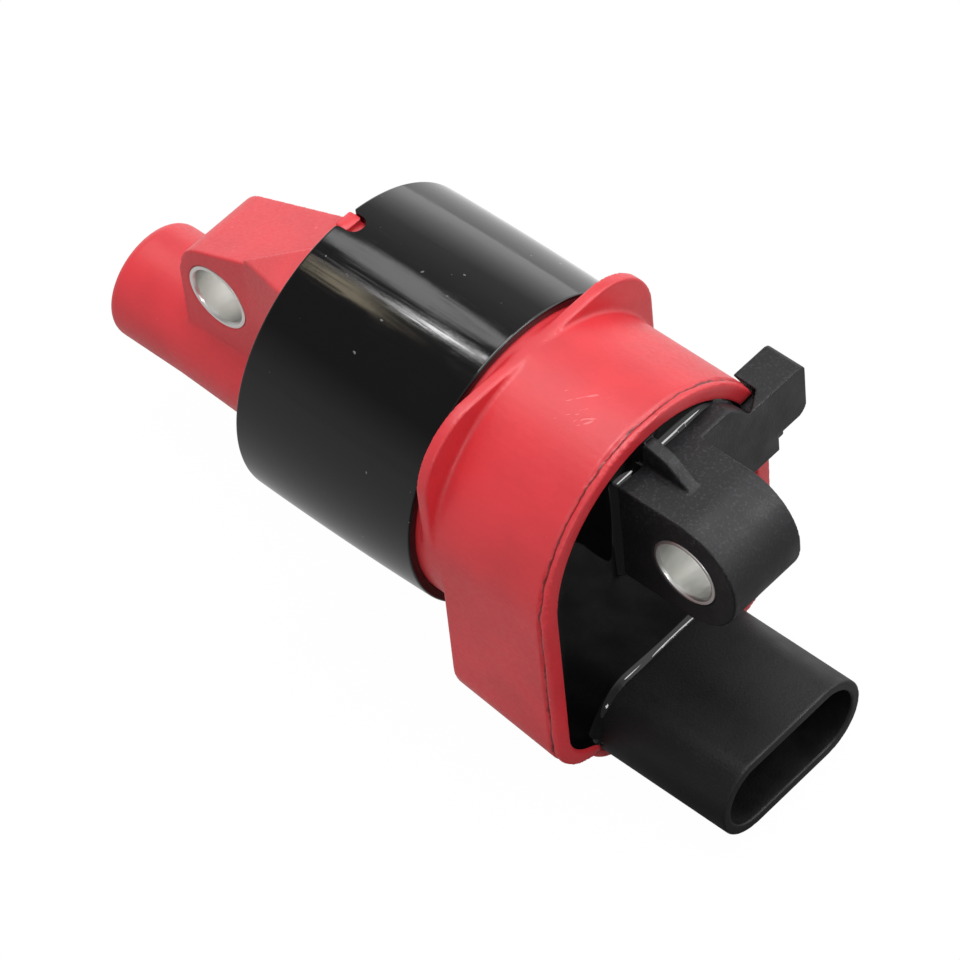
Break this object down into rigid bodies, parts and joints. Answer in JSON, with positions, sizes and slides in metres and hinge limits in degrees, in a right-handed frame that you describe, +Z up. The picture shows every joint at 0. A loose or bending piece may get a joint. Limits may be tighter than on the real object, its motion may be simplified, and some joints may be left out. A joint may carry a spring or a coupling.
{
  "type": "ignition coil",
  "caption": "Near-plug ignition coil with a red moulded housing, black steel sleeve core, bushed bolt ears, high-tension tower and sealed low-tension connector.",
  "frame": {"origin": "centre of the tower-end bolt bushing, halfway through the ear", "axes": "+X along the coil's length towards the connector, +Y along the bolts, +Z up, away from the high-tension tower"},
  "size_m": [0.1137, 0.0491, 0.061],
  "materials": {
    "housing_plastic": "satin injection-moulded glass-filled polyester",
    "sleeve_steel": "rolled silicon steel with glossy black baked lacquer",
    "cover_plastic": "black glass-filled moulding with fine grain",
    "epoxy": "cast black potting epoxy, high gloss",
    "bushing_metal": "turned aluminium",
    "core_steel": "stacked silicon-steel laminations",
    "magnet": "ground sintered magnet",
    "buffer_rubber": "moulded rubber",
    "amber_film": "wound polyimide film",
    "bobbin_cream": "moulded bobbin plastic",
    "bobbin_black": "moulded bobbin plastic",
    "enamelled_copper": "layer-wound enamelled copper wire",
    "tinned_brass": "stamped and tin-plated",
    "component_black": "moulded component package",
    "component_tan": "ceramic chip components",
    "spreader_aluminium": "stamped sheet",
    "board_ceramic": "fired ceramic board"
  },
  "bodies": {
    "root": {"housing": "housing_plastic", "outer_core": "sleeve_steel", "connector_cover": "cover_plastic", "potting": "epoxy", "tower_bushing": "bushing_metal", "connector_bushing": "bushing_metal", "centre_core": "core_steel", "front_magnet": "magnet", "rear_magnet": "magnet", "front_buffer": "buffer_rubber", "rear_buffer": "buffer_rubber", "core_tube": "amber_film", "secondary_bobbin": "bobbin_cream", "secondary_winding": "enamelled_copper", "primary_bobbin": "bobbin_black", "primary_winding": "enamelled_copper", "winding_resin": "epoxy", "ht_terminal": "tinned_brass", "hv_diode": "component_black", "ht_contact": "tinned_brass", "tower_resin": "epoxy", "heat_spreader": "spreader_aluminium", "driver_board": "board_ceramic", "power_transistor": "component_black", "driver_ic": "component_black", "chip_parts": "component_tan", "primary_leads": "enamelled_copper", "signal_pin": "tinned_brass", "signal_ground_pin": "tinned_brass", "head_ground_pin": "tinned_brass", "battery_ground_pin": "tinned_brass", "supply_pin": "tinned_brass"}
  },
  "joints": []
}
